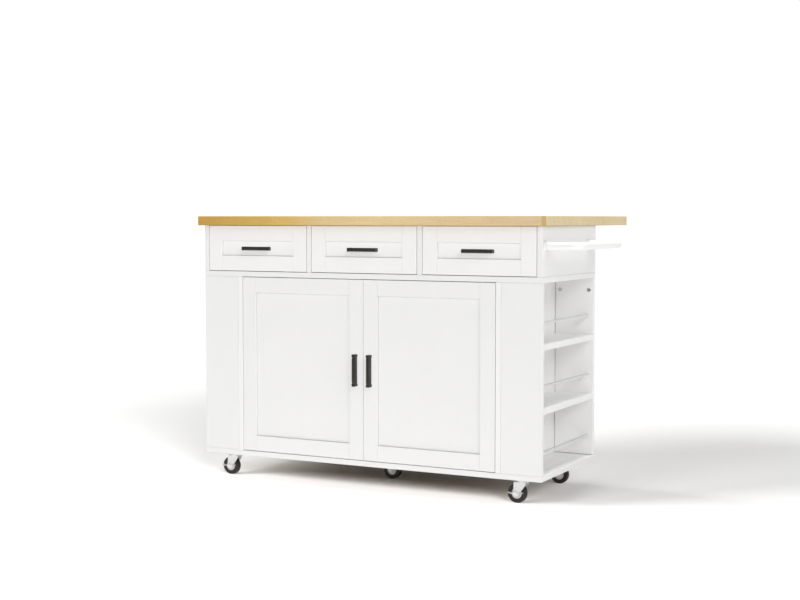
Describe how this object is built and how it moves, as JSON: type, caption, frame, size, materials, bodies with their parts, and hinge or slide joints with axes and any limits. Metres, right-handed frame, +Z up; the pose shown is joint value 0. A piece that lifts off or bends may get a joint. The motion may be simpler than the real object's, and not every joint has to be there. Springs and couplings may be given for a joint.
{
  "type": "drop leaf kitchen island",
  "caption": "White kitchen island on casters with a wood worktop, rear drop leaf, drawers over framed doors, open end niches and a side towel bar.",
  "frame": {"origin": "on the floor, under the centre of the bounding box, with the leaf raised and the towel bar on the +X side", "axes": "+Z up; -Y is the front with the drawers and doors, +Y the drop leaf side; +X is to the right seen from the front"},
  "size_m": [1.4184, 0.811, 0.921],
  "materials": {
    "white_paint": "satin white paint on board",
    "wood_top": "oiled solid rubberwood, satin",
    "drawer_board": "matt laminated board",
    "dark_metal": "dark bronze, satin",
    "white_tube": "white powder coat, semi-gloss",
    "zinc_steel": "bright zinc plated steel",
    "caster_wheel": "black rubber tyre on a light hub"
  },
  "bodies": {
    "cabinet": {"worktop": "wood_top", "leaf_hinge_fixed": "zinc_steel", "stay_bracket_left": "zinc_steel", "stay_bracket_right": "zinc_steel", "bottom_board": "white_paint", "mid_board": "white_paint", "upper_back": "white_paint", "lower_back": "white_paint", "cabinet_shelf": "white_paint", "upper_side_left": "white_paint", "drawer_divider_left": "white_paint", "partition_left": "white_paint", "column_front_left": "white_paint", "column_back_left": "white_paint", "niche_shelf_left_lower": "white_paint", "niche_shelf_left_upper": "white_paint", "upper_side_right": "white_paint", "drawer_divider_right": "white_paint", "partition_right": "white_paint", "column_front_right": "white_paint", "column_back_right": "white_paint", "niche_shelf_right_lower": "white_paint", "niche_shelf_right_upper": "white_paint", "niche_rail_lower": "white_tube", "niche_rail_middle": "white_tube", "niche_rail_upper": "white_tube", "towel_bar": "white_tube", "towel_flange_front": "white_tube", "towel_flange_rear": "white_tube"},
    "leaf": {"drop_leaf": "wood_top", "leaf_hinge_moving": "zinc_steel", "stay_rail_left": "zinc_steel", "stay_rail_right": "zinc_steel"},
    "stay_left": {"stay_arm_left": "zinc_steel"},
    "stay_right": {"stay_arm_right": "zinc_steel"},
    "door_left": {"door_left": "white_paint", "door_pull_left": "dark_metal"},
    "door_right": {"door_right": "white_paint", "door_pull_right": "dark_metal"},
    "drawer_left": {"drawer_front_left": "white_paint", "drawer_box_left": "drawer_board", "drawer_pull_left": "dark_metal"},
    "drawer_centre": {"drawer_front_centre": "white_paint", "drawer_box_centre": "drawer_board", "drawer_pull_centre": "dark_metal"},
    "drawer_right": {"drawer_front_right": "white_paint", "drawer_box_right": "drawer_board", "drawer_pull_right": "dark_metal"},
    "caster_front_left": {"caster_fork_front_left": "zinc_steel"},
    "wheel_front_left": {"caster_wheel_front_left": "caster_wheel"},
    "brake_front_left": {"brake_pedal_front_left": "zinc_steel"},
    "caster_front_right": {"caster_fork_front_right": "zinc_steel"},
    "wheel_front_right": {"caster_wheel_front_right": "caster_wheel"},
    "brake_front_right": {"brake_pedal_front_right": "zinc_steel"},
    "caster_rear_left": {"caster_fork_rear_left": "zinc_steel"},
    "wheel_rear_left": {"caster_wheel_rear_left": "caster_wheel"},
    "caster_rear_right": {"caster_fork_rear_right": "zinc_steel"},
    "wheel_rear_right": {"caster_wheel_rear_right": "caster_wheel"},
    "caster_centre": {"caster_fork_centre": "zinc_steel"},
    "wheel_centre": {"caster_wheel_centre": "caster_wheel"}
  },
  "joints": [
    {"name": "leaf_fold", "type": "hinge", "parent": "cabinet", "child": "leaf", "pos_m": [-0.05825, 0.1395, 0.8852], "axis": [-1, 0, 0], "range_deg": [0, 90]},
    {"name": "stay_left_fold", "type": "hinge", "parent": "cabinet", "child": "stay_left", "pos_m": [-0.45825, 0.1354, 0.8002], "axis": [-1, 0, 0], "range_deg": [0, 119.96]},
    {"name": "stay_right_fold", "type": "hinge", "parent": "cabinet", "child": "stay_right", "pos_m": [0.34175, 0.1354, 0.8002], "axis": [-1, 0, 0], "range_deg": [0, 119.96]},
    {"name": "door_left_swing", "type": "hinge", "parent": "cabinet", "child": "door_left", "pos_m": [-0.53785, -0.3795, 0.4055], "axis": [0, 0, -1], "range_deg": [0, 105]},
    {"name": "door_right_swing", "type": "hinge", "parent": "cabinet", "child": "door_right", "pos_m": [0.42135, -0.3795, 0.4055], "axis": [0, 0, 1], "range_deg": [0, 105]},
    {"name": "drawer_left_slide", "type": "slide", "parent": "cabinet", "child": "drawer_left", "axis": [0, -1, 0], "range_m": [0, 0.3]},
    {"name": "drawer_centre_slide", "type": "slide", "parent": "cabinet", "child": "drawer_centre", "axis": [0, -1, 0], "range_m": [0, 0.3]},
    {"name": "drawer_right_slide", "type": "slide", "parent": "cabinet", "child": "drawer_right", "axis": [0, -1, 0], "range_m": [0, 0.3]},
    {"name": "caster_front_left_swivel", "type": "hinge", "parent": "cabinet", "child": "caster_front_left", "pos_m": [-0.61125, -0.3225, 0.082], "axis": [0, 0, 1], "continuous": true},
    {"name": "wheel_front_left_spin", "type": "hinge", "parent": "caster_front_left", "child": "wheel_front_left", "pos_m": [-0.62775, -0.3225, 0.0315], "axis": [0, 1, 0], "continuous": true},
    {"name": "brake_front_left_press", "type": "hinge", "parent": "caster_front_left", "child": "brake_front_left", "pos_m": [-0.62775, -0.3225, 0.0315], "axis": [0, -1, 0], "range_deg": [0, 12]},
    {"name": "caster_front_right_swivel", "type": "hinge", "parent": "cabinet", "child": "caster_front_right", "pos_m": [0.49475, -0.3225, 0.082], "axis": [0, 0, 1], "continuous": true},
    {"name": "wheel_front_right_spin", "type": "hinge", "parent": "caster_front_right", "child": "wheel_front_right", "pos_m": [0.47825, -0.3225, 0.0315], "axis": [0, 1, 0], "continuous": true},
    {"name": "brake_front_right_press", "type": "hinge", "parent": "caster_front_right", "child": "brake_front_right", "pos_m": [0.47825, -0.3225, 0.0315], "axis": [0, -1, 0], "range_deg": [0, 12]},
    {"name": "caster_rear_left_swivel", "type": "hinge", "parent": "cabinet", "child": "caster_rear_left", "pos_m": [-0.61125, 0.0515, 0.082], "axis": [0, 0, 1], "continuous": true},
    {"name": "wheel_rear_left_spin", "type": "hinge", "parent": "caster_rear_left", "child": "wheel_rear_left", "pos_m": [-0.62775, 0.0515, 0.0315], "axis": [0, 1, 0], "continuous": true},
    {"name": "caster_rear_right_swivel", "type": "hinge", "parent": "cabinet", "child": "caster_rear_right", "pos_m": [0.49475, 0.0515, 0.082], "axis": [0, 0, 1], "continuous": true},
    {"name": "wheel_rear_right_spin", "type": "hinge", "parent": "caster_rear_right", "child": "wheel_rear_right", "pos_m": [0.47825, 0.0515, 0.0315], "axis": [0, 1, 0], "continuous": true},
    {"name": "caster_centre_swivel", "type": "hinge", "parent": "cabinet", "child": "caster_centre", "pos_m": [-0.05825, -0.1355, 0.082], "axis": [0, 0, 1], "continuous": true},
    {"name": "wheel_centre_spin", "type": "hinge", "parent": "caster_centre", "child": "wheel_centre", "pos_m": [-0.07475, -0.1355, 0.0315], "axis": [0, 1, 0], "continuous": true}
  ],
  "couplings": [
    {"joint": "stay_left_fold", "follows": "leaf_fold", "ratio": 1.3329},
    {"joint": "stay_right_fold", "follows": "leaf_fold", "ratio": 1.3329}
  ]
}
